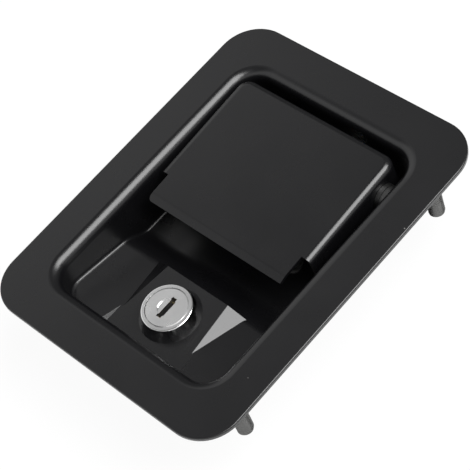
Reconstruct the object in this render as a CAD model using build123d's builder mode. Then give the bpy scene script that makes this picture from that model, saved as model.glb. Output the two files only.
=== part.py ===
from build123d import *
from math import cos, radians, sin, sqrt, tan
import os

# Key-locking paddle latch: a pressed pan, a hinged paddle, a slam bolt and a wafer lock.
# The origin is the centre of the four studs on the back of the flange.
# +Z points out of the face, +Y towards the bolt, +X to the right.

os.makedirs("parts", exist_ok=True)

# ---------------------------------------------------------------- sizes, mm
# Pan, one steel pressing
sheet = 1.5
flange_width = 108
flange_length = 140
flange_corner = 14.5
edge_round = 0.5
recess_width = 75.6
recess_length = 105
recess_corner = 8.5
bend = 2.5  # inside radius of the pan's rim
floor_round = 1.2

# Recess floor, depths below the face
lock_end_depth = 11.9
slope_depth = 17.4
well_depth = 22.3
slope_length = 31.0  # from the lock-end wall
ramp_length = 7.5
ramp_round = 9.0

# Raised pad that carries the lock
pad_depth = 13.6
pad_width = 28.6  # at its front edge
pad_wide = 35.2  # at the lock-end wall
pad_length = 30.3
pad_side_angle = 60  # from upright
pad_front_angle = 8

# Weld studs
stud_radius = 3.0
stud_length = 22.8
stud_chamfer = 0.9
stud_spacing_x = 89
stud_spacing_y = 100.5
seat_depth = 0.5
seat_gap = 1.3

# Pivot pin, across the pan near the bolt end
pin_radius = 2.5
pin_setback = 14.5
pin_depth = 8.0
pin_head_radius = 3.9
pin_head = 1.6
pin_fit = 0.05
clip_radius = 3.9
clip = 0.8
washer = 1.6
washer_radius = 5.0
washer_gap = 0.2
washers_left = 1
washers_right = 2

# Paddle, one folded pressing, in a frame on the pivot pin
paddle_tilt = 3.5  # the finger end sits this many degrees low
paddle_opening = 28
paddle_lift = 8.9  # pin axis up to the top of the paddle
paddle_sheet = 1.3
paddle_back = 10.6
paddle_front = 35.7
paddle_skirt = 14.0
skirt_rise = 3.0
paddle_bend = 2.6
paddle_corner = 5.0
tab_width = 62.5
tab_reach = 8.2
tab_corner_left = 1.8
tab_corner_right = 3.5
lip_angle = 14
lip_bend = 1.6
lip_length = 2.6

# Slam bolt and its case
bolt_width = 22
bolt_height = 12
bolt_throw = 10.6
bolt_rear = 12.0
bevel = 8.5
nose_round = 1.0
slide_gap = 0.3
tail_width = 9
tail = 2.5
case_sheet = 2.0
case_reach = 7.0  # case front wall beyond the recess wall
case_length = 60.0
case_flange = 8.0
rivet_radius = 2.0
rivet_head_radius = 3.4
rivet_head = 1.4
rivet_inset = 5.0
rivet_fit = 0.1

# Lever, pin and bush that draw the bolt
lever_sheet = 2.0
lever_boss = 5.6
lever_arm = 6.2
lever_web = 22
lever_plate = 13
bush_radius = 5.0
bush_width = 5.4
bush_gap = 0.3
drive_pin_radius = 2.0
drive_head = 0.8
drive_head_radius = 2.8
contact_gap = 0.1
slot_gap = 0.8

# Springs
bolt_spring_wire = 0.8
bolt_spring_radius = 2.6
bolt_spring_turns = 11
spring_bore_radius = 3.4
spring_bore = 9.0
spring_rise = 1.0
guide_radius = 1.6
guide_head_radius = 2.8
guide_head = 1.5
guide_length = 20.0
guide_washer = 0.8
paddle_spring_wire = 1.2
paddle_spring_radius = 4.2
paddle_spring_turns = 5
paddle_spring_gap = 1.5  # from the lever's web to the coil
paddle_spring_lift = 18  # rise of the upper leg
paddle_spring_leg = 10.0

# Lock
lock_setback = 16.5
head_base_radius = 11.2
head_face_radius = 9.1
head_height = 4.8
barrel_radius = 9.5
barrel_flats = 16.2
barrel_fit = 0.15
plug_radius = 6.5
plug_fit = 0.05
cap_radius = 7.7
cap = 1.2
cap_gap = 0.1
dish_radius = 3.4
dish_depth = 0.5
key_width = 2.0
key_height = 8.6
key_depth = 20.0
nut_width = 24
nut = 4.5
lock_washer = 0.8
lock_washer_radius = 12.5
cam = 2.2
cam_length = 15.0
cam_width = 12.0
cam_square = 7.0
cam_gap = 0.2
cam_clearance = 0.5
cam_screw_radius = 2.0
cam_screw_head_radius = 4.6
cam_screw_head = 1.3
cam_screw_length = 7.0
cam_washer = 0.6
cam_washer_radius = 5.4
wafer_count = 5
wafer = 1.0
wafer_pitch = 2.6
wafer_width = 7.0
wafer_length = 10.2
wafer_gap = 0.1
wafer_window = 6.4

# ------------------------------------------------------------ derived places
face_z = sheet
wall_x = recess_width / 2
wall_y = recess_length / 2
floor_z = face_z - well_depth
floor_back = floor_z - sheet
pad_z = face_z - pad_depth
pad_back = pad_z - sheet
pad_front = pad_length - wall_y
lock_y = lock_setback - wall_y

pin_y = wall_y - pin_setback
pin_z = face_z - pin_depth
paddle_width = recess_width - (washers_left + washers_right) * (washer + washer_gap)
paddle_x = -wall_x + washers_left * (washer + washer_gap) + paddle_width / 2

bolt_top = floor_back - slide_gap
bolt_bottom = bolt_top - bolt_height
bolt_middle = (bolt_top + bolt_bottom) / 2
case_half = bolt_width / 2 + slide_gap
case_floor = bolt_bottom - slide_gap
case_front = wall_y + sheet + case_reach
case_back = case_front - case_length

half_swing = radians(paddle_opening / 2)
lever_length = (pin_z - bolt_middle) / cos(half_swing)
bolt_travel = 2 * lever_length * sin(half_swing)
bush_y = pin_y + lever_length * sin(half_swing)
lever_rest = half_swing - radians(paddle_tilt)
bush_place = (lever_length * sin(lever_rest), -lever_length * cos(lever_rest))
nose_y = case_front + bolt_throw
slot_rear = bush_y - bush_radius - contact_gap
slot_front = bush_y + bush_radius + bolt_travel + contact_gap
bolt_back = slot_rear - bolt_rear
lever_half = bush_width / 2 + bush_gap + lever_sheet
slot_half = lever_half + drive_head + slide_gap
spring_z = bolt_middle + spring_rise
lever_slot = 2 * ((pin_z - floor_back) * tan(half_swing) + lever_arm)
rivet_x = case_half + case_sheet + case_flange / 2
rivet_front = wall_y - recess_corner - rivet_inset
rivet_places = [(x, y) for x in (-rivet_x, rivet_x) for y in (case_back + rivet_inset, rivet_front)]

cam_top = bolt_bottom + tail / 2 + cam / 2
barrel_end = cam_top + cam_gap
tail_end = lock_y + cam_length + bolt_travel + cam_clearance

tilt = radians(paddle_tilt)
paddle_plane = Plane((paddle_x, pin_y, pin_z), x_dir=(1, 0, 0), z_dir=(0, -sin(tilt), cos(tilt)))
lever_plane = Plane((0, pin_y, pin_z), x_dir=(0, cos(tilt), sin(tilt)), z_dir=(1, 0, 0))
paddle_up = Axis(paddle_plane.origin, paddle_plane.z_dir)
paddle_along = Axis(paddle_plane.origin, paddle_plane.y_dir)
pin_plane = Plane((0, pin_y, pin_z), x_dir=(0, 1, 0), z_dir=(1, 0, 0))


# --------------------------------------------------------------------- pan
def inset(grow, angle):
    """How far a wall at this angle moves in at the pad's level when the sheet's thickness is added."""
    return grow * (1 - sin(radians(angle))) / cos(radians(angle))


def pressed_hollow(grow, top):
    """The recess as a solid, grown by the sheet's thickness for its outside."""
    ends = wall_y + grow
    level = pad_z - grow
    front = pad_width / 2 - inset(grow, pad_side_angle)
    wide = pad_wide / 2 - inset(grow, pad_side_angle)
    with BuildPart() as hollow:
        with BuildSketch(Plane.YZ.offset(-wall_x - grow)):
            with BuildLine():
                deep = FilletPolyline(
                    (-wall_y, face_z - lock_end_depth),
                    (slope_length - wall_y, face_z - slope_depth),
                    (slope_length + ramp_length - wall_y, floor_z),
                    (wall_y, floor_z),
                    radius=ramp_round,
                )
                Polyline(deep @ 1, (wall_y, top - grow), (-wall_y, top - grow), deep @ 0)
            make_face()
            if grow:
                offset(amount=grow, kind=Kind.INTERSECTION)
        extrude(amount=recess_width + 2 * grow)
        fillet(hollow.edges().filter_by(Axis.Z), recess_corner + grow)
        skirting = hollow.edges().filter_by(
            lambda e: e.center().Z < face_z - lock_end_depth / 2
            and (
                abs(e.center().X) > wall_x + grow - recess_corner
                or abs(e.center().Y) > ends - recess_corner
            )
            and not (abs(e.tangent_at(0.5).X) > 0.99 and abs(e.center().Y) < ends - 0.5)
        )
        fillet(skirting, floor_round + grow)
        # the lock pad is raised out of the slope, between flared sides ...
        with BuildPart(mode=Mode.PRIVATE) as pad:
            with BuildSketch(Plane.XY.offset(level)):
                Polygon(
                    (-front, pad_front), (-wide, -ends), (wide, -ends), (front, pad_front), align=None
                )
            extrude(amount=floor_z - pad_z - grow, taper=-pad_side_angle)
            edge = Plane(
                (0, pad_front - inset(grow, pad_front_angle), level),
                x_dir=(1, 0, 0),
                z_dir=(0, -cos(radians(pad_front_angle)), -sin(radians(pad_front_angle))),
            )
            split(bisect_by=edge, keep=Keep.TOP)
        add(pad.part, mode=Mode.SUBTRACT)
        # ... and sunk into it by the lock-end wall
        with BuildSketch(Plane.XY.offset(level)):
            with Locations((0, -ends + pad_length / 4)):
                Rectangle(2 * wide, pad_length / 2)
        extrude(amount=lock_end_depth / 4, taper=-45)
        split(bisect_by=Plane.XZ.offset(ends), keep=Keep.BOTTOM)
    return hollow.part


with BuildPart() as pan:
    with BuildSketch():
        RectangleRounded(flange_width, flange_length, flange_corner)
    extrude(amount=sheet)
    fillet(pan.faces().sort_by(Axis.Z)[-1].edges(), edge_round)
    add(pressed_hollow(sheet, face_z))
    rim_back = pan.edges().filter_by(
        lambda e: abs(e.center().Z) < 0.01 and abs(e.center().X) < wall_x + 2 * sheet
        and abs(e.center().Y) < wall_y + 2 * sheet
    )
    fillet(rim_back, bend)
    add(pressed_hollow(0, face_z + sheet), mode=Mode.SUBTRACT)
    rim_face = pan.edges().filter_by(
        lambda e: abs(e.center().Z - face_z) < 0.01 and abs(e.center().X) < wall_x + sheet
        and abs(e.center().Y) < wall_y + sheet
    )
    fillet(rim_face, bend + sheet)
    # double-D hole for the lock barrel
    with BuildSketch(Plane.XY.offset(pad_z)):
        with Locations((0, lock_y)):
            Circle(barrel_radius + barrel_fit)
            Rectangle(barrel_flats + 2 * barrel_fit, 3 * barrel_radius, mode=Mode.INTERSECT)
    extrude(amount=-2 * sheet, mode=Mode.SUBTRACT)
    # slot that the lever swings in
    with BuildSketch(Plane.XY.offset(floor_z)):
        with Locations((0, pin_y)):
            RectangleRounded(2 * (slot_half + slot_gap), lever_slot, slot_half / 2)
    extrude(amount=-sheet, mode=Mode.SUBTRACT)
    # pivot pin holes through both side walls
    with BuildSketch(pin_plane):
        Circle(pin_radius + pin_fit)
    extrude(amount=recess_width, both=True, mode=Mode.SUBTRACT)
    # rivet holes in the floor
    with BuildSketch(Plane.XY.offset(floor_z)):
        with Locations(rivet_places):
            Circle(rivet_radius + rivet_fit)
    extrude(amount=-sheet, mode=Mode.SUBTRACT)
    # shallow weld seats for the studs
    with BuildSketch(Plane.XY.offset(seat_depth)):
        with GridLocations(stud_spacing_x, stud_spacing_y, 2, 2):
            Circle(stud_radius + seat_gap)
    extrude(amount=-sheet, mode=Mode.SUBTRACT)
pan.part.label = "pan"
export_step(pan.part, "parts/pan.step")

# ------------------------------------------------------------------- studs
with BuildPart() as mounting_studs:
    with GridLocations(stud_spacing_x, stud_spacing_y, 2, 2):
        with Locations((0, 0, seat_depth)):
            Cylinder(stud_radius, stud_length + seat_depth, align=(Align.CENTER, Align.CENTER, Align.MAX))
    tips = mounting_studs.edges().group_by(Axis.Z)[0]
    chamfer(tips, stud_chamfer)
mounting_studs.part.label = "mounting_studs"
export_step(mounting_studs.part, "parts/mounting_studs.step")

# -------------------------------------------------------------- pivot pin
pin_span = recess_width / 2 + sheet + washer_gap
with BuildPart() as pivot_pin:
    with BuildSketch(pin_plane.offset(-pin_span)):
        Circle(pin_radius)
    extrude(amount=2 * pin_span + 2 * clip)
    with BuildSketch(pin_plane.offset(-pin_span)):
        Circle(pin_head_radius)
    extrude(amount=-pin_head)
    fillet(pivot_pin.edges().group_by(Axis.X)[0], pin_head / 2)
    chamfer(pivot_pin.edges().group_by(Axis.X)[-1], clip / 2)
    # groove for the clip
    with BuildSketch(pin_plane.offset(pin_span)):
        Circle(pin_radius)
        Circle(pin_radius - clip / 2, mode=Mode.SUBTRACT)
    extrude(amount=clip, mode=Mode.SUBTRACT)
pivot_pin.part.label = "pivot_pin"
export_step(pivot_pin.part, "parts/pivot_pin.step")

# E-shaped clip in the groove
with BuildPart() as pin_clip:
    with BuildSketch(pin_plane.offset(pin_span + pin_fit)):
        Circle(clip_radius)
        Circle(pin_radius - clip / 2 + pin_fit, mode=Mode.SUBTRACT)
        with Locations((0, -clip_radius)):
            Rectangle(2 * (pin_radius - clip / 2), 2 * clip_radius, mode=Mode.SUBTRACT)
        with PolarLocations(clip_radius, 2, start_angle=0):
            Circle(clip_radius / 4, mode=Mode.SUBTRACT)
    extrude(amount=clip - 2 * pin_fit)
pin_clip.part.label = "pin_clip"
export_step(pin_clip.part, "parts/pin_clip.step")

# Spacing washers between the paddle's skirts and the pan, one left and two right
washer_pitch = washer + washer_gap
washer_starts = [washer_gap / 2 - wall_x + i * washer_pitch for i in range(washers_left)]
washer_starts += [wall_x + washer_gap / 2 - (i + 1) * washer_pitch for i in range(washers_right)]
with BuildPart() as spacing_washers:
    for start in washer_starts:
        with BuildSketch(pin_plane.offset(start)):
            Circle(washer_radius)
            Circle(pin_radius + pin_fit, mode=Mode.SUBTRACT)
        extrude(amount=washer)
spacing_washers.part.label = "spacing_washers"
export_step(spacing_washers.part, "parts/spacing_washers.step")

# ------------------------------------------------------------------ paddle
def paddle_block(inset):
    """The folded cap as a solid, inset by the sheet's thickness for its inside."""
    back = paddle_back - inset
    front = -paddle_front - inset
    with BuildPart() as block:
        with BuildSketch(paddle_plane.offset(paddle_lift - inset)):
            with Locations((0, (back + front) / 2)):
                Rectangle(paddle_width - 2 * inset, back - front)
        extrude(amount=-paddle_skirt - 2 * inset)
        corners = block.edges().filter_by(paddle_up).group_by(paddle_along)[-1]
        fillet(corners, paddle_corner - inset)
        top = block.faces().sort_by(paddle_up)[-1]
        folds = top.edges().sort_by(paddle_along)[1:]
        fillet(folds, paddle_bend - inset)
    return block.part


with BuildPart() as paddle:
    add(paddle_block(0))
    add(paddle_block(paddle_sheet), mode=Mode.SUBTRACT)
    # the skirts get shallower towards the finger end
    with BuildSketch(lever_plane.offset(-paddle_width)):
        with BuildLine():
            Polyline(
                (paddle_back, paddle_lift - paddle_skirt),
                (-lever_boss, paddle_lift - paddle_skirt),
                (-paddle_front, paddle_lift - paddle_skirt + skirt_rise),
                (-paddle_front, -2 * paddle_skirt),
                (paddle_back, -2 * paddle_skirt),
                close=True,
            )
        make_face()
    extrude(amount=2 * paddle_width, mode=Mode.SUBTRACT)
    # finger tab with its lip bent down and its corners rounded
    with BuildPart(mode=Mode.PRIVATE) as tab:
        with BuildSketch(lever_plane.offset(paddle_x - tab_width / 2)):
            with BuildLine():
                flat = Line(
                    (-paddle_front + paddle_lift, paddle_lift), (-paddle_front - tab_reach, paddle_lift)
                )
                turn = JernArc(flat @ 1, flat % 1, lip_bend + paddle_sheet, lip_angle)
                Line(turn @ 1, turn @ 1 + (turn % 1) * lip_length)
                offset(amount=paddle_sheet, side=Side.LEFT)
            make_face()
        extrude(amount=tab_width)
        tip = paddle_plane.to_local_coords(tab.vertices().sort_by(paddle_along)[0].center())
        with BuildSketch(paddle_plane):
            with Locations((0, tip.Y + tab_width / 2)):
                outline = Rectangle(tab_width, tab_width)
            near = outline.vertices().group_by(Axis.Y)[0].sort_by(Axis.X)
            fillet(near[0], tab_corner_left)
            fillet(near[1], tab_corner_right)
        extrude(amount=2 * paddle_lift, mode=Mode.INTERSECT)
    add(tab.part)
    # pivot holes
    with BuildSketch(pin_plane.offset(-recess_width / 2)):
        Circle(pin_radius + pin_fit)
    extrude(amount=recess_width, mode=Mode.SUBTRACT)
paddle.part.label = "paddle"
export_step(paddle.part, "parts/paddle.step")

# ------------------------------------------------- lever, drive pin and bush
web_z = paddle_lift - paddle_sheet
with BuildPart() as paddle_lever:
    for start in (-lever_half, lever_half - lever_sheet):
        with BuildSketch(lever_plane.offset(start)):
            Circle(lever_boss)
            with Locations((0, web_z / 2)):
                Rectangle(2 * lever_boss, web_z)
            with Locations(bush_place):
                Circle(lever_arm / 2)
            with Locations((bush_place[0] / 2, bush_place[1] / 2)):
                Rectangle(lever_arm, lever_length, rotation=paddle_opening / 2 - paddle_tilt)
            Circle(pin_radius + pin_fit, mode=Mode.SUBTRACT)
            with Locations(bush_place):
                Circle(drive_pin_radius, mode=Mode.SUBTRACT)
        extrude(amount=lever_sheet)
    # the web that is welded under the paddle
    with BuildSketch(lever_plane.offset(-lever_plate)):
        with Locations((lever_boss - lever_web / 2, web_z - lever_sheet / 2)):
            Rectangle(lever_web, lever_sheet)
    extrude(amount=2 * lever_plate)
paddle_lever.part.label = "paddle_lever"
export_step(paddle_lever.part, "parts/paddle_lever.step")

drive_plane = Plane((0, bush_y, bolt_middle), x_dir=(0, 1, 0), z_dir=(1, 0, 0))
with BuildPart() as drive_pin:
    with BuildSketch(drive_plane):
        Circle(drive_pin_radius)
    extrude(amount=lever_half, both=True)
    for start, length in ((-lever_half, -drive_head), (lever_half, drive_head)):
        with BuildSketch(drive_plane.offset(start)):
            Circle(drive_head_radius)
        extrude(amount=length)
    fillet(drive_pin.edges().group_by(Axis.X)[0] + drive_pin.edges().group_by(Axis.X)[-1], drive_head / 2)
drive_pin.part.label = "drive_pin"
export_step(drive_pin.part, "parts/drive_pin.step")

with BuildPart() as drive_bush:
    with BuildSketch(drive_plane):
        Circle(bush_radius)
        Circle(drive_pin_radius + pin_fit, mode=Mode.SUBTRACT)
    extrude(amount=bush_width / 2, both=True)
drive_bush.part.label = "drive_bush"
export_step(drive_bush.part, "parts/drive_bush.step")

# --------------------------------------------------------------- slam bolt
with BuildPart() as slam_bolt:
    with BuildSketch(Plane.YZ.offset(-bolt_width / 2)):
        with BuildLine():
            Polyline(
                (bolt_back, bolt_bottom),
                (bolt_back, bolt_top),
                (nose_y, bolt_top),
                (nose_y, bolt_bottom + bevel),
                (nose_y - bevel, bolt_bottom),
                close=True,
            )
        make_face()
    extrude(amount=bolt_width)
    nose = slam_bolt.edges().filter_by(lambda e: e.center().Y > nose_y - bevel - nose_round)
    fillet(nose, nose_round)
    # slot that the lever's bush pushes on
    with BuildSketch(Plane.XY.offset(bolt_top)):
        with Locations((0, (slot_rear + slot_front) / 2)):
            Rectangle(2 * slot_half, slot_front - slot_rear)
    extrude(amount=-bolt_height, mode=Mode.SUBTRACT)
    # blind bore for the spring
    with BuildSketch(Plane.XZ.offset(-bolt_back)):
        with Locations((0, spring_z)):
            Circle(spring_bore_radius)
    extrude(amount=-spring_bore, mode=Mode.SUBTRACT)
    # tail that the lock cam stands behind
    with BuildSketch(Plane.XY.offset(bolt_bottom)):
        with Locations((0, (tail_end + bolt_back) / 2)):
            Rectangle(tail_width, bolt_back - tail_end)
    extrude(amount=tail)
    fillet(slam_bolt.edges().filter_by(Axis.Z).group_by(Axis.Y)[0], tail)
slam_bolt.part.label = "slam_bolt"
export_step(slam_bolt.part, "parts/slam_bolt.step")

# -------------------------------------------------------------- latch case
case_outer = case_half + case_sheet
with BuildPart() as latch_case:
    # channel that the bolt slides in
    with BuildSketch(Plane.XZ.offset(-case_front)):
        with Locations((0, (floor_back + case_floor - case_sheet) / 2)):
            Rectangle(2 * case_outer, floor_back - case_floor + case_sheet)
        with Locations((0, (floor_back + case_floor) / 2)):
            Rectangle(2 * case_half, floor_back - case_floor, mode=Mode.SUBTRACT)
    extrude(amount=case_length)
    fillet(latch_case.edges().filter_by(Axis.Y).group_by(Axis.Z)[0], case_sheet)
    # ears riveted to the pan
    with BuildSketch(Plane.XY.offset(floor_back)):
        with Locations((0, (case_back + rivet_front + rivet_inset) / 2)):
            RectangleRounded(
                2 * (case_outer + case_flange), rivet_front + rivet_inset - case_back, rivet_inset / 2
            )
            Rectangle(2 * case_half, case_length, mode=Mode.SUBTRACT)
        with Locations(rivet_places):
            Circle(rivet_radius + rivet_fit, mode=Mode.SUBTRACT)
    extrude(amount=-case_sheet)
    # bridge over the bolt, clear of the pan's end wall
    with BuildSketch(Plane.XY.offset(floor_back)):
        with Locations((0, case_front)):
            Rectangle(
                2 * case_outer, case_front - wall_y - sheet - slide_gap, align=(Align.CENTER, Align.MAX)
            )
    extrude(amount=case_sheet)
    # rear wall with a hole for the guide and a window for the tail
    with BuildSketch(Plane.XZ.offset(-case_back)):
        with Locations((0, (floor_back + case_floor) / 2)):
            Rectangle(2 * case_half, floor_back - case_floor)
        with Locations((0, spring_z)):
            Circle(guide_radius + pin_fit, mode=Mode.SUBTRACT)
        with Locations((0, case_floor)):
            Rectangle(
                tail_width + 2 * slide_gap, 2 * (tail + 2 * slide_gap), mode=Mode.SUBTRACT
            )
    extrude(amount=-case_sheet)
latch_case.part.label = "latch_case"
export_step(latch_case.part, "parts/latch_case.step")

with BuildPart() as case_rivets:
    with BuildSketch(Plane.XY.offset(floor_z)):
        with Locations(rivet_places):
            Circle(rivet_radius)
    extrude(amount=floor_back - case_sheet - floor_z)
    with BuildSketch(Plane.XY.offset(floor_z)):
        with Locations(rivet_places):
            Circle(rivet_head_radius)
    extrude(amount=rivet_head / 2)
    with BuildSketch(Plane.XY.offset(floor_back - case_sheet)):
        with Locations(rivet_places):
            Circle(rivet_head_radius)
    extrude(amount=-rivet_head)
    fillet(case_rivets.edges().group_by(Axis.Z)[0], rivet_head * 0.8)
case_rivets.part.label = "case_rivets"
export_step(case_rivets.part, "parts/case_rivets.step")

# ------------------------------------------------------------- bolt spring
guide_plane = Plane((0, case_back, spring_z), x_dir=(1, 0, 0), z_dir=(0, 1, 0))
with BuildPart() as spring_guide:
    with BuildSketch(guide_plane):
        Circle(guide_radius)
    extrude(amount=guide_length)
    with BuildSketch(guide_plane):
        Circle(guide_head_radius)
    extrude(amount=-guide_head)
    chamfer(spring_guide.edges().group_by(Axis.Y)[-1], guide_radius / 3)
    fillet(spring_guide.edges().group_by(Axis.Y)[0], guide_head / 3)
spring_guide.part.label = "spring_guide"
export_step(spring_guide.part, "parts/spring_guide.step")

with BuildPart() as guide_collar:
    with BuildSketch(guide_plane.offset(case_sheet)):
        Circle(guide_head_radius)
        Circle(guide_radius + pin_fit, mode=Mode.SUBTRACT)
    extrude(amount=guide_washer)
guide_collar.part.label = "guide_collar"
export_step(guide_collar.part, "parts/guide_collar.step")

spring_start = case_back + case_sheet + guide_washer + bolt_spring_wire / 2
spring_end = bolt_back + spring_bore - bolt_spring_wire / 2
with BuildPart() as bolt_spring:
    with BuildLine():
        coil = Helix(
            pitch=(spring_end - spring_start) / bolt_spring_turns,
            height=spring_end - spring_start,
            radius=bolt_spring_radius,
            center=(0, spring_start, spring_z),
            direction=(0, 1, 0),
        )
    with BuildSketch(Plane(coil @ 0, z_dir=coil % 0)):
        Circle(bolt_spring_wire / 2)
    sweep()
bolt_spring.part.label = "bolt_spring"
export_step(bolt_spring.part, "parts/bolt_spring.step")

# ----------------------------------------------------------- paddle spring
spring_plane = Plane(
    (lever_plate + paddle_spring_gap, pin_y, pin_z),
    x_dir=(0, -sin(radians(paddle_spring_lift)), cos(radians(paddle_spring_lift))),
    z_dir=(1, 0, 0),
)
# the lower leg leaves the coil at 45 degrees and ends just above the floor
spring_turns = paddle_spring_turns + (135 - paddle_spring_lift) / 360
leg_drop = pin_z - floor_z - paddle_spring_wire / 2 - contact_gap
lower_leg = leg_drop * sqrt(2) - paddle_spring_radius
with BuildPart() as spring_wire:
    with BuildLine() as wire:
        coil = Helix(
            pitch=paddle_spring_wire * 1.1,
            height=paddle_spring_wire * 1.1 * spring_turns,
            radius=paddle_spring_radius,
        )
        Line(coil @ 0 - (coil % 0) * paddle_spring_leg, coil @ 0)
        Line(coil @ 1, coil @ 1 + (coil % 1) * lower_leg)
    path = wire.wires()[0]
    with BuildSketch(Plane(path @ 0, z_dir=path % 0)):
        Circle(paddle_spring_wire / 2)
    sweep(path=path, transition=Transition.ROUND)
with BuildPart() as paddle_spring:
    with Locations(spring_plane.location):
        add(spring_wire.part)
paddle_spring.part.label = "paddle_spring"
export_step(paddle_spring.part, "parts/paddle_spring.step")

# -------------------------------------------------------------------- lock
head_top = pad_z + head_height
cap_seat = head_top - cap
with BuildPart() as lock_body:
    with BuildSketch(Plane.XY.offset(pad_z)):
        with Locations((0, lock_y)):
            Circle(head_base_radius)
    with BuildSketch(Plane.XY.offset(head_top)):
        with Locations((0, lock_y)):
            Circle(head_face_radius)
    loft()
    fillet(lock_body.edges().group_by(Axis.Z)[-1], edge_round)
    with BuildSketch(Plane.XY.offset(pad_z)):
        with Locations((0, lock_y)):
            Circle(barrel_radius)
            Rectangle(barrel_flats, 3 * barrel_radius, mode=Mode.INTERSECT)
    extrude(amount=barrel_end - pad_z)
    with BuildSketch(Plane.XY.offset(head_top)):
        with Locations((0, lock_y)):
            Circle(plug_radius + plug_fit)
    extrude(amount=barrel_end - head_top, mode=Mode.SUBTRACT)
    # recess for the cap
    with BuildSketch(Plane.XY.offset(head_top)):
        with Locations((0, lock_y)):
            Circle(cap_radius + cap_gap)
    extrude(amount=-cap - cap_gap, mode=Mode.SUBTRACT)
lock_body.part.label = "lock_body"
export_step(lock_body.part, "parts/lock_body.step")

with BuildPart() as lock_washer_ring:
    with BuildSketch(Plane.XY.offset(pad_back)):
        with Locations((0, lock_y)):
            Circle(lock_washer_radius)
            Circle(barrel_radius + barrel_fit, mode=Mode.SUBTRACT)
    extrude(amount=-lock_washer)
lock_washer_ring.part.label = "lock_washer"
export_step(lock_washer_ring.part, "parts/lock_washer.step")

with BuildPart() as lock_nut:
    with BuildSketch(Plane.XY.offset(pad_back - lock_washer)):
        with Locations((0, lock_y)):
            RegularPolygon(nut_width / 2, 6, major_radius=False)
            Circle(barrel_radius + plug_fit, mode=Mode.SUBTRACT)
    extrude(amount=-nut)
    chamfer(lock_nut.faces().sort_by(Axis.Z)[0].outer_wire().edges(), nut / 9)
lock_nut.part.label = "lock_nut"
export_step(lock_nut.part, "parts/lock_nut.step")

with BuildPart() as lock_plug:
    with BuildSketch(Plane.XY.offset(cap_seat)):
        with Locations((0, lock_y)):
            Circle(plug_radius)
    extrude(amount=barrel_end - cap_seat)
    # squared end that carries the cam
    with BuildSketch(Plane.XY.offset(barrel_end)):
        with Locations((0, lock_y)):
            Rectangle(cam_square, cam_square)
    extrude(amount=-cam_gap - cam)
    # keyway
    with BuildSketch(Plane.XY.offset(cap_seat)):
        with Locations((0, lock_y)):
            Rectangle(key_width, key_height)
    extrude(amount=-key_depth, mode=Mode.SUBTRACT)
    # slots that the wafers slide in
    for i in range(wafer_count):
        with BuildSketch(Plane.XY.offset(cap_seat - (i + 1) * wafer_pitch)):
            with Locations((0, lock_y)):
                Rectangle(wafer_width + 2 * wafer_gap, 2 * plug_radius)
        extrude(amount=-wafer - 2 * wafer_gap, mode=Mode.SUBTRACT)
    with BuildSketch(Plane.XY.offset(cam_top - cam)):
        with Locations((0, lock_y)):
            Circle(cam_screw_radius)
    extrude(amount=cam_screw_length, mode=Mode.SUBTRACT)
lock_plug.part.label = "lock_plug"
export_step(lock_plug.part, "parts/lock_plug.step")

with BuildPart() as lock_wafers:
    for i in range(wafer_count):
        with BuildSketch(Plane.XY.offset(cap_seat - (i + 1) * wafer_pitch - wafer_gap)):
            with Locations((0, lock_y)):
                Rectangle(wafer_width, wafer_length)
                Rectangle(key_width + 2 * wafer_gap, wafer_window, mode=Mode.SUBTRACT)
        extrude(amount=-wafer)
lock_wafers.part.label = "lock_wafers"
export_step(lock_wafers.part, "parts/lock_wafers.step")

with BuildPart() as plug_cap:
    with BuildSketch(Plane.XY.offset(cap_seat)):
        with Locations((0, lock_y)):
            Circle(cap_radius)
    extrude(amount=cap)
    chamfer(plug_cap.edges().group_by(Axis.Z)[-1], cap / 4)
    with BuildSketch(Plane.XY.offset(head_top)):
        with Locations((0, lock_y)):
            Circle(dish_radius)
    extrude(amount=-dish_depth, mode=Mode.SUBTRACT)
    with BuildSketch(Plane.XY.offset(head_top)):
        with Locations((0, lock_y)):
            Rectangle(key_width, key_height)
    extrude(amount=-cap, mode=Mode.SUBTRACT)
plug_cap.part.label = "plug_cap"
export_step(plug_cap.part, "parts/plug_cap.step")

# --------------------------------------------------------------- lock cam
with BuildPart() as lock_cam:
    with BuildSketch(Plane.XY.offset(cam_top)):
        with Locations((0, lock_y)):
            Circle(cam_width / 2)
        with Locations((-cam_length / 2, lock_y)):
            RectangleRounded(cam_length, cam_width, cam_width / 4)
        with Locations((0, lock_y)):
            Rectangle(cam_square + 2 * pin_fit, cam_square + 2 * pin_fit, mode=Mode.SUBTRACT)
    extrude(amount=-cam)
lock_cam.part.label = "lock_cam"
export_step(lock_cam.part, "parts/lock_cam.step")

with BuildPart() as cam_ring:
    with BuildSketch(Plane.XY.offset(cam_top - cam)):
        with Locations((0, lock_y)):
            Circle(cam_washer_radius)
            Circle(cam_screw_radius + pin_fit, mode=Mode.SUBTRACT)
    extrude(amount=-cam_washer)
cam_ring.part.label = "cam_washer"
export_step(cam_ring.part, "parts/cam_washer.step")

screw_seat = cam_top - cam - cam_washer
with BuildPart() as cam_screw:
    with BuildSketch(Plane.XY.offset(screw_seat)):
        with Locations((0, lock_y)):
            Circle(cam_screw_head_radius)
    extrude(amount=-cam_screw_head)
    fillet(cam_screw.edges().group_by(Axis.Z)[0], cam_screw_head / 3)
    with BuildSketch(Plane.XY.offset(screw_seat)):
        with Locations((0, lock_y)):
            Circle(cam_screw_radius - pin_fit)
    extrude(amount=cam_washer + cam_screw_length - cam_gap)
    # cross recess
    with BuildSketch(Plane.XY.offset(screw_seat - cam_screw_head)):
        with Locations((0, lock_y)):
            Rectangle(cam_screw_head_radius, cam_screw_head / 3)
            Rectangle(cam_screw_head / 3, cam_screw_head_radius)
    extrude(amount=cam_screw_head * 0.6, mode=Mode.SUBTRACT)
cam_screw.part.label = "cam_screw"
export_step(cam_screw.part, "parts/cam_screw.step")
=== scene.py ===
import bpy
from math import pi
from mathutils import Matrix, Vector


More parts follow.
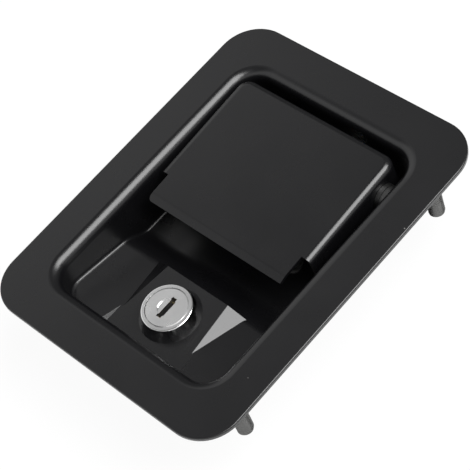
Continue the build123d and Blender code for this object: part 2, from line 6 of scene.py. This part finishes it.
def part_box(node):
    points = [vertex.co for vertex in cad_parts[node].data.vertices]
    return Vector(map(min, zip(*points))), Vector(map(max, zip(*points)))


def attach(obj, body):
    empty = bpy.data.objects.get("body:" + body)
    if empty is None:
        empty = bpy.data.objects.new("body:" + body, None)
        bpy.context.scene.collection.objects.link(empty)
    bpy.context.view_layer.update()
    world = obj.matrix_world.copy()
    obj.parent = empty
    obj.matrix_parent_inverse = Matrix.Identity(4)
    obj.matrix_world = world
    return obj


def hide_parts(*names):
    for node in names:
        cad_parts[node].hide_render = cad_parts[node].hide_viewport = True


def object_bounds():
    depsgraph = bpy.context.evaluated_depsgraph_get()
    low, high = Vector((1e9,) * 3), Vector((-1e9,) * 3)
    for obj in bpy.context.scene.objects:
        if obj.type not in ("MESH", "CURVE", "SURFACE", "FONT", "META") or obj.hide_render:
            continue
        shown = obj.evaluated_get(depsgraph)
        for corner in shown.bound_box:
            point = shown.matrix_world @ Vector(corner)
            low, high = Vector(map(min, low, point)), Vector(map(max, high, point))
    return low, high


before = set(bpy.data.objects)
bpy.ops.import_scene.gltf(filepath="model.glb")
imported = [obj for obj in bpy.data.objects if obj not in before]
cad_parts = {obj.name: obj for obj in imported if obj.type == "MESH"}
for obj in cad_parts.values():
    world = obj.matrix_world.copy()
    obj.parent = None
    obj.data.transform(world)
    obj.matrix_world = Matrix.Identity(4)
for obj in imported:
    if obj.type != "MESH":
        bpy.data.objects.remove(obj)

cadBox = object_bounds()
mm = 0.001  # metres in a millimetre
print("frame loaded:", len(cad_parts), "nodes")


# ---- shared shader groups
def newGroup(name, inputs, outputs):
    group = bpy.data.node_groups.new(name, "ShaderNodeTree")
    for label, kind, value in inputs:
        socket = group.interface.new_socket(label, in_out="INPUT", socket_type=kind)
        socket.default_value = value
    for label, kind in outputs:
        group.interface.new_socket(label, in_out="OUTPUT", socket_type=kind)
    return group, group.nodes.new("NodeGroupInput"), group.nodes.new("NodeGroupOutput")


def feed(tree, value, socket):
    if isinstance(value, bpy.types.NodeSocket):
        tree.links.new(value, socket)
    else:
        socket.default_value = value


def mathNode(tree, operation, first, second, clamp=False):
    node = tree.nodes.new("ShaderNodeMath")
    node.operation = operation
    node.use_clamp = clamp
    feed(tree, first, node.inputs[0])
    feed(tree, second, node.inputs[1])
    return node.outputs[0]


def noiseNode(tree, vector, scale, detail, roughness=0.5):
    node = tree.nodes.new("ShaderNodeTexNoise")
    node.inputs["Detail"].default_value = detail
    node.inputs["Roughness"].default_value = roughness
    feed(tree, vector, node.inputs["Vector"])
    feed(tree, scale, node.inputs["Scale"])
    return node.outputs["Fac"]


def mixColour(tree, factor, first, second):
    node = tree.nodes.new("ShaderNodeMix")
    node.data_type = "RGBA"
    for index, value in ((0, factor), (6, first), (7, second)):
        feed(tree, value, node.inputs[index])
    return node.outputs[2]


def aroundZero(tree, value, amount):
    centred = mathNode(tree, "SUBTRACT", value, 0.5)
    return mathNode(tree, "MULTIPLY", centred, amount)


coatLook = {
    "colour": (0.0025, 0.0025, 0.003, 1), "cloudColour": (0.0045, 0.0045, 0.005, 1),
    "dustColour": (0.16, 0.155, 0.15, 1), "cloudScale": 38.0, "peelScale": 900.0,
    "dustScale": 150.0, "dustSize": 0.035, "dustShare": 0.10, "dustRough": 0.3,
    "dustHeight": 1.5, "glossSpread": 0.10, "bumpDistance": 0.05 * mm,
}
metalLook = {
    "cloudScale": 160.0, "cloudRoughness": 0.6, "glossSpread": 0.25, "bumpDistance": 0.03 * mm,
}


surfaceOutputs = [
    ("Colour", "NodeSocketColor"), ("Roughness", "NodeSocketFloat"), ("Height", "NodeSocketFloat"),
]


# fine orange peel, cloudy gloss and a few dust specks of a sprayed coat
def makeCoatGroup():
    group, start, end = newGroup(
        "sprayedCoat",
        [
            ("Vector", "NodeSocketVector", (0, 0, 0)),
            ("Coat Colour", "NodeSocketColor", coatLook["colour"]),
            ("Dust Colour", "NodeSocketColor", coatLook["dustColour"]),
            ("Peel Scale", "NodeSocketFloat", coatLook["peelScale"]),
            ("Gloss", "NodeSocketFloat", 0.33),
        ],
        surfaceOutputs,
    )
    vector = start.outputs["Vector"]
    cloud = noiseNode(group, vector, coatLook["cloudScale"], 4.0)
    peel = noiseNode(group, vector, start.outputs["Peel Scale"], 2.0)
    specks = group.nodes.new("ShaderNodeTexVoronoi")
    specks.inputs["Scale"].default_value = coatLook["dustScale"]
    group.links.new(vector, specks.inputs["Vector"])
    near = mathNode(group, "LESS_THAN", specks.outputs["Distance"], coatLook["dustSize"])
    split = group.nodes.new("ShaderNodeSeparateColor")
    group.links.new(specks.outputs["Color"], split.inputs[0])
    chosen = mathNode(group, "GREATER_THAN", split.outputs[0], 1 - coatLook["dustShare"])
    dust = mathNode(group, "MULTIPLY", near, chosen)
    tone = mixColour(group, cloud, start.outputs["Coat Colour"], coatLook["cloudColour"])
    colour = mixColour(group, dust, tone, start.outputs["Dust Colour"])
    patchy = aroundZero(group, cloud, coatLook["glossSpread"])
    gloss = mathNode(group, "ADD", start.outputs["Gloss"], patchy)
    dull = mathNode(group, "MULTIPLY", dust, coatLook["dustRough"])
    gloss = mathNode(group, "ADD", gloss, dull, clamp=True)
    raised = mathNode(group, "MULTIPLY", dust, coatLook["dustHeight"])
    height = mathNode(group, "ADD", peel, raised)
    group.links.new(colour, end.inputs["Colour"])
    group.links.new(gloss, end.inputs["Roughness"])
    group.links.new(height, end.inputs["Height"])
    return group


# plated or drawn metal: cloudy tone, fine scratches along one axis
def makePlateGroup():
    group, start, end = newGroup(
        "platedMetal",
        [
            ("Vector", "NodeSocketVector", (0, 0, 0)),
            ("Light", "NodeSocketColor", (0.62, 0.62, 0.61, 1)),
            ("Dark", "NodeSocketColor", (0.42, 0.42, 0.42, 1)),
            ("Stretch", "NodeSocketVector", (1, 1, 1)),
            ("Grain Scale", "NodeSocketFloat", 1200.0),
            ("Gloss", "NodeSocketFloat", 0.3),
        ],
        surfaceOutputs,
    )
    vector = start.outputs["Vector"]
    stretched = group.nodes.new("ShaderNodeVectorMath")
    stretched.operation = "MULTIPLY"
    group.links.new(vector, stretched.inputs[0])
    group.links.new(start.outputs["Stretch"], stretched.inputs[1])
    grain = noiseNode(group, stretched.outputs[0], start.outputs["Grain Scale"], 2.0)
    cloud = noiseNode(group, vector, metalLook["cloudScale"], 5.0, metalLook["cloudRoughness"])
    blend = mathNode(group, "MULTIPLY", mathNode(group, "ADD", grain, cloud), 0.5)
    colour = mixColour(group, blend, start.outputs["Dark"], start.outputs["Light"])
    spread = aroundZero(group, cloud, metalLook["glossSpread"])
    gloss = mathNode(group, "ADD", start.outputs["Gloss"], spread, clamp=True)
    group.links.new(colour, end.inputs["Colour"])
    group.links.new(gloss, end.inputs["Roughness"])
    group.links.new(grain, end.inputs["Height"])
    return group


coatGroup = makeCoatGroup()
plateGroup = makePlateGroup()


def startMaterial(name):
    material = bpy.data.materials.new(name)
    material.use_nodes = True
    tree = material.node_tree
    shader = next(node for node in tree.nodes if node.type == "BSDF_PRINCIPLED")
    place = tree.nodes.new("ShaderNodeTexCoord").outputs["Object"]
    return material, tree, shader, place


def addBump(tree, shader, height, strength, distance):
    bump = tree.nodes.new("ShaderNodeBump")
    bump.inputs["Strength"].default_value = strength
    bump.inputs["Distance"].default_value = distance
    tree.links.new(height, bump.inputs["Height"])
    tree.links.new(bump.outputs["Normal"], shader.inputs["Normal"])


def coatMaterial(name, gloss=0.28, peel=coatLook["peelScale"], bump=0.12):
    material, tree, shader, place = startMaterial(name)
    coat = tree.nodes.new("ShaderNodeGroup")
    coat.node_tree = coatGroup
    coat.inputs["Gloss"].default_value = gloss
    coat.inputs["Peel Scale"].default_value = peel
    tree.links.new(place, coat.inputs["Vector"])
    tree.links.new(coat.outputs["Colour"], shader.inputs["Base Color"])
    tree.links.new(coat.outputs["Roughness"], shader.inputs["Roughness"])
    addBump(tree, shader, coat.outputs["Height"], bump, coatLook["bumpDistance"])
    return material


def metalMaterial(name, light, dark, gloss=0.3, stretch=(1, 1, 1), grain=1200.0, bump=0.15, ridges=None):
    material, tree, shader, place = startMaterial(name)
    plate = tree.nodes.new("ShaderNodeGroup")
    plate.node_tree = plateGroup
    plate.inputs["Light"].default_value = (*light, 1)
    plate.inputs["Dark"].default_value = (*dark, 1)
    plate.inputs["Gloss"].default_value = gloss
    plate.inputs["Stretch"].default_value = stretch
    plate.inputs["Grain Scale"].default_value = grain
    shader.inputs["Metallic"].default_value = 1.0
    tree.links.new(place, plate.inputs["Vector"])
    tree.links.new(plate.outputs["Colour"], shader.inputs["Base Color"])
    tree.links.new(plate.outputs["Roughness"], shader.inputs["Roughness"])
    if ridges is None:
        addBump(tree, shader, plate.outputs["Height"], bump, metalLook["bumpDistance"])
        return material
    # thread ridges below a height, as on the lock's barrel
    split = tree.nodes.new("ShaderNodeSeparateXYZ")
    tree.links.new(place, split.inputs[0])
    turns = mathNode(tree, "DIVIDE", split.outputs["Z"], ridges["pitch"])
    saw = mathNode(tree, "PINGPONG", turns, 0.5)
    below = mathNode(tree, "LESS_THAN", split.outputs["Z"], ridges["top"])
    addBump(tree, shader, mathNode(tree, "MULTIPLY", saw, below), 1.0, ridges["depth"])
    return material


def springMaterial(name):
    return metalMaterial(name, (0.45, 0.44, 0.42), (0.26, 0.26, 0.26), gloss=0.28, grain=2500.0)


zincLight = (0.66, 0.66, 0.64)
zincDark = (0.46, 0.46, 0.45)
nodeMaterials = {
    "pan": coatMaterial("panCoat"),
    "paddle": coatMaterial("paddleCoat", gloss=0.27, peel=850.0),
    "latch_case": coatMaterial("caseCoat", gloss=0.38),
    "pivot_pin": metalMaterial("pinSteel", (0.30, 0.30, 0.30), (0.18, 0.18, 0.18), gloss=0.32),
    "pin_clip": metalMaterial("clipSteel", (0.10, 0.10, 0.11), (0.05, 0.05, 0.05), gloss=0.4),
    "spacing_washers": metalMaterial("washerSteel", (0.12, 0.12, 0.12), (0.06, 0.06, 0.06), gloss=0.4),
    "paddle_lever": metalMaterial("leverZinc", zincLight, zincDark, gloss=0.34, stretch=(1, 0.1, 0.1)),
    "drive_pin": metalMaterial("drivePinSteel", (0.6, 0.6, 0.6), (0.5, 0.5, 0.5), gloss=0.2),
    "case_rivets": metalMaterial("rivetZinc", zincLight, zincDark, gloss=0.3),
    "spring_guide": metalMaterial(
        "guideSteel", (0.6, 0.6, 0.59), (0.48, 0.48, 0.48), stretch=(1, 0.05, 1)
    ),
    "guide_collar": metalMaterial("collarZinc", zincLight, zincDark),
    "bolt_spring": springMaterial("boltSpringSteel"),
    "paddle_spring": springMaterial("paddleSpringSteel"),
    "slam_bolt": metalMaterial(
        "boltZinc", (0.70, 0.70, 0.67), (0.5, 0.5, 0.48), gloss=0.3, stretch=(1, 0.04, 1)
    ),
    "lock_body": metalMaterial(
        "lockChrome", (0.86, 0.86, 0.86), (0.78, 0.78, 0.78), gloss=0.14, grain=600.0,
        ridges={"pitch": 1.0 * mm, "top": -13.0 * mm, "depth": 0.35 * mm},
    ),
    "lock_nut": metalMaterial("nutZinc", zincLight, zincDark, gloss=0.3),
    "lock_washer": metalMaterial("lockWasherZinc", zincLight, zincDark, gloss=0.36),
    "lock_plug": metalMaterial("plugZinc", (0.36, 0.36, 0.36), (0.22, 0.22, 0.22), gloss=0.42),
    "plug_cap": metalMaterial(
        "capChrome", (0.84, 0.84, 0.84), (0.72, 0.72, 0.72), gloss=0.24, grain=2200.0, bump=0.25
    ),
    "lock_wafers": metalMaterial("waferBrass", (0.74, 0.58, 0.30), (0.52, 0.38, 0.17), gloss=0.32),
    "lock_cam": metalMaterial("camZinc", zincLight, zincDark, gloss=0.32, stretch=(0.1, 1, 1)),
    "cam_washer": metalMaterial("camWasherZinc", zincLight, zincDark, gloss=0.3),
    "cam_screw": metalMaterial("camScrewZinc", zincLight, zincDark, gloss=0.26),
}
studZinc = metalMaterial("studZinc", (0.20, 0.20, 0.195), (0.07, 0.07, 0.07), gloss=0.3, grain=1600.0)
nylon, nylonTree, nylonShader, nylonPlace = startMaterial("bushNylon")
nylonTone = noiseNode(nylonTree, nylonPlace, 240.0, 4.0)
nylonTree.links.new(
    mixColour(nylonTree, nylonTone, (0.70, 0.69, 0.63, 1), (0.80, 0.79, 0.74, 1)),
    nylonShader.inputs["Base Color"],
)
nylonShader.inputs["Roughness"].default_value = 0.45
nylonShader.inputs["Subsurface Weight"].default_value = 0.15
addBump(nylonTree, nylonShader, nylonTone, 0.1, 0.05 * mm)
nodeMaterials["drive_bush"] = nylon
nodeMaterials["mounting_studs"] = studZinc

for name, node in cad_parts.items():
    for slot in node.material_slots:
        slot.material = nodeMaterials[name]
print("materials made:", len(bpy.data.materials))

# ---- threaded studs, one cut thread repeated at the four corners
studs = {
    "radius": 3.0, "pitch": 1.0, "depth": 0.45, "sides": 40, "rings": 184, "chamfer": 0.9,
    "seat": 0.45,
}


def makeThreadTree():
    tree = bpy.data.node_groups.new("threadedStuds", "GeometryNodeTree")
    face = tree.interface
    face.new_socket("Geometry", in_out="INPUT", socket_type="NodeSocketGeometry")
    for label in ("Radius", "Length", "Pitch", "Depth", "Chamfer", "Spacing X", "Spacing Y"):
        face.new_socket(label, in_out="INPUT", socket_type="NodeSocketFloat")
    face.new_socket("Geometry", in_out="OUTPUT", socket_type="NodeSocketGeometry")
    start = tree.nodes.new("NodeGroupInput")
    end = tree.nodes.new("NodeGroupOutput")
    link = tree.links.new
    body = tree.nodes.new("GeometryNodeMeshCylinder")
    body.inputs["Vertices"].default_value = studs["sides"]
    body.inputs["Side Segments"].default_value = studs["rings"]
    link(start.outputs["Radius"], body.inputs["Radius"])
    link(start.outputs["Length"], body.inputs["Depth"])
    place = tree.nodes.new("GeometryNodeInputPosition").outputs[0]
    split = tree.nodes.new("ShaderNodeSeparateXYZ")
    link(place, split.inputs[0])
    x, y, z = split.outputs
    turn = mathNode(tree, "DIVIDE", mathNode(tree, "ARCTAN2", y, x), 2 * pi)
    rise = mathNode(tree, "DIVIDE", z, start.outputs["Pitch"])
    wave = mathNode(tree, "PINGPONG", mathNode(tree, "ADD", turn, rise), 0.5)
    groove = mathNode(tree, "MULTIPLY", mathNode(tree, "MULTIPLY", wave, 2.0), start.outputs["Depth"])
    height = mathNode(tree, "ADD", z, mathNode(tree, "MULTIPLY", start.outputs["Length"], 0.5))
    taper = mathNode(tree, "SUBTRACT", start.outputs["Chamfer"], height)
    nearTip = mathNode(tree, "MAXIMUM", taper, 0.0)
    inward = mathNode(tree, "MAXIMUM", groove, nearTip)
    left = mathNode(tree, "SUBTRACT", start.outputs["Radius"], inward)
    scale = mathNode(tree, "DIVIDE", left, start.outputs["Radius"])
    moved = tree.nodes.new("ShaderNodeCombineXYZ")
    link(mathNode(tree, "MULTIPLY", x, scale), moved.inputs[0])
    link(mathNode(tree, "MULTIPLY", y, scale), moved.inputs[1])
    link(z, moved.inputs[2])
    cut = tree.nodes.new("GeometryNodeSetPosition")
    link(body.outputs["Mesh"], cut.inputs["Geometry"])
    link(moved.outputs[0], cut.inputs["Position"])
    corners = tree.nodes.new("GeometryNodeMeshGrid")
    corners.inputs["Vertices X"].default_value = 2
    corners.inputs["Vertices Y"].default_value = 2
    link(start.outputs["Spacing X"], corners.inputs["Size X"])
    link(start.outputs["Spacing Y"], corners.inputs["Size Y"])
    copies = tree.nodes.new("GeometryNodeInstanceOnPoints")
    link(corners.outputs["Mesh"], copies.inputs["Points"])
    link(cut.outputs[0], copies.inputs["Instance"])
    real = tree.nodes.new("GeometryNodeRealizeInstances")
    link(copies.outputs[0], real.inputs[0])
    finish = tree.nodes.new("GeometryNodeSetMaterial")
    finish.inputs["Material"].default_value = studZinc
    link(real.outputs[0], finish.inputs["Geometry"])
    link(finish.outputs[0], end.inputs[0])
    return tree


def bakeTree(name, tree, values, shift):
    holder = bpy.data.objects.new(name + "Holder", bpy.data.meshes.new(name + "Holder"))
    bpy.context.collection.objects.link(holder)
    modifier = holder.modifiers.new("build", "NODES")
    modifier.node_group = tree
    for item in tree.interface.items_tree:
        if item.name in values:
            modifier[item.identifier] = values[item.name]
    graph = bpy.context.evaluated_depsgraph_get()
    mesh = bpy.data.meshes.new_from_object(holder.evaluated_get(graph))
    mesh.name = name
    mesh.transform(Matrix.Translation(shift))
    piece = bpy.data.objects.new(name, mesh)
    bpy.context.collection.objects.link(piece)
    bpy.data.objects.remove(holder)
    for polygon in mesh.polygons:
        polygon.use_smooth = True
    return piece


low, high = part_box("mounting_studs")
studTop = studs["seat"] * mm
studLength = studTop - low[2]
spacing = [high[axis] - low[axis] - 2 * studs["radius"] * mm for axis in (0, 1)]
studSizes = {
    "Radius": studs["radius"] * mm, "Length": studLength, "Pitch": studs["pitch"] * mm,
    "Depth": studs["depth"] * mm, "Chamfer": studs["chamfer"] * mm,
    "Spacing X": spacing[0], "Spacing Y": spacing[1],
}
studCentre = Vector((0, 0, studTop - studLength / 2))
threadedStuds = bakeTree("threadedStuds", makeThreadTree(), studSizes, studCentre)
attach(threadedStuds, "pan")
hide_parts("mounting_studs")
print("studs made:", len(threadedStuds.data.polygons), "faces")

# ---- floor, world, lamps and camera
floorPlan = {"size": 3.0, "gap": 0.2 * mm, "colour": (0.86, 0.86, 0.86, 1), "white": 0.93}
floorMesh = bpy.data.meshes.new("floor")
half = floorPlan["size"] / 2
level = cadBox[0][2] - floorPlan["gap"]
corners = [(-half, -half, level), (half, -half, level), (half, half, level), (-half, half, level)]
floorMesh.from_pydata(corners, [], [(0, 1, 2, 3)])
floor = bpy.data.objects.new("floor", floorMesh)
bpy.context.collection.objects.link(floor)
paper, paperTree, paperShader = startMaterial("floorPaper")[:3]
paperShader.inputs["Base Color"].default_value = floorPlan["colour"]
paperShader.inputs["Roughness"].default_value = 0.9
glow = paperTree.nodes.new("ShaderNodeEmission")
glow.inputs["Color"].default_value = (1, 1, 1, 1)
paths = paperTree.nodes.new("ShaderNodeLightPath")
seen = mathNode(paperTree, "MULTIPLY", paths.outputs["Is Camera Ray"], floorPlan["white"])
mixer = paperTree.nodes.new("ShaderNodeMixShader")
paperTree.links.new(seen, mixer.inputs[0])
paperTree.links.new(paperShader.outputs[0], mixer.inputs[1])
paperTree.links.new(glow.outputs[0], mixer.inputs[2])
paperOut = next(node for node in paperTree.nodes if node.type == "OUTPUT_MATERIAL")
paperTree.links.new(mixer.outputs[0], paperOut.inputs["Surface"])
floorMesh.materials.append(paper)

# the studio's tone by height, darker on the far side, white to the camera
world = bpy.data.worlds.new("studio")
bpy.context.scene.world = world
world.use_nodes = True
sky = world.node_tree
skyBack = next(node for node in sky.nodes if node.type == "BACKGROUND")
direction = sky.nodes.new("ShaderNodeTexCoord")
skySplit = sky.nodes.new("ShaderNodeSeparateXYZ")
sky.links.new(direction.outputs["Generated"], skySplit.inputs[0])
ramp = sky.nodes.new("ShaderNodeValToRGB")
skyTones = ((0.0, 0.70), (0.70, 1.15), (0.75, 1.05), (0.81, 0.42), (0.87, 0.18), (1.0, 0.10))
stops = ramp.color_ramp.elements
for position, tone in skyTones:
    stop = stops.new(position) if 0.0 < position < 1.0 else stops[-int(position)]
    stop.color = (tone, tone, tone, 1)
sky.links.new(skySplit.outputs["Z"], ramp.inputs["Fac"])
farShade = {"From Min": 0.36, "From Max": 0.50, "To Min": 0.0, "To Max": 0.85}
farSide = sky.nodes.new("ShaderNodeMapRange")
for label, value in farShade.items():
    farSide.inputs[label].default_value = value
sky.links.new(skySplit.outputs["Y"], farSide.inputs["Value"])
shaded = mixColour(sky, farSide.outputs[0], ramp.outputs["Color"], (0.03, 0.03, 0.03, 1))
skyPaths = sky.nodes.new("ShaderNodeLightPath")
sky.links.new(
    mixColour(sky, skyPaths.outputs["Is Camera Ray"], shaded, (1, 1, 1, 1)), skyBack.inputs["Color"]
)

lamps = {
    "keyPanel": {"from": (0.43, 0.28, 0.86), "away": 0.8, "size": (0.6, 0.6), "power": 11.0},
}
for name, plan in lamps.items():
    lampData = bpy.data.lights.new(name, "AREA")
    lampData.shape = "RECTANGLE"
    lampData.size, lampData.size_y = plan["size"]
    lampData.energy = plan["power"]
    lamp = bpy.data.objects.new(name, lampData)
    toward = Vector(plan["from"]).normalized()
    aim = toward.to_track_quat("Z", "Y").to_matrix().to_4x4()
    lamp.matrix_world = Matrix.Translation(toward * plan["away"]) @ aim
    bpy.context.collection.objects.link(lamp)

shot = {
    "place": (0.29527, -0.15779, 0.43500), "right": (0.7171, 0.6516, -0.2476),
    "up": (-0.4503, 0.7041, 0.5491), "back": (0.5321, -0.2822, 0.7982), "lens": 125.01,
}
cameraData = bpy.data.cameras.new("camera")
cameraData.sensor_width = 36.0
cameraData.lens = shot["lens"]
cameraData.clip_start = 0.01
camera = bpy.data.objects.new("camera", cameraData)
turned = Matrix((shot["right"], shot["up"], shot["back"])).transposed().to_quaternion().to_matrix().to_4x4()
camera.matrix_world = Matrix.Translation(shot["place"]) @ turned
bpy.context.collection.objects.link(camera)
bpy.context.scene.camera = camera
bpy.context.scene.view_settings.view_transform = "Standard"
print("stage set")
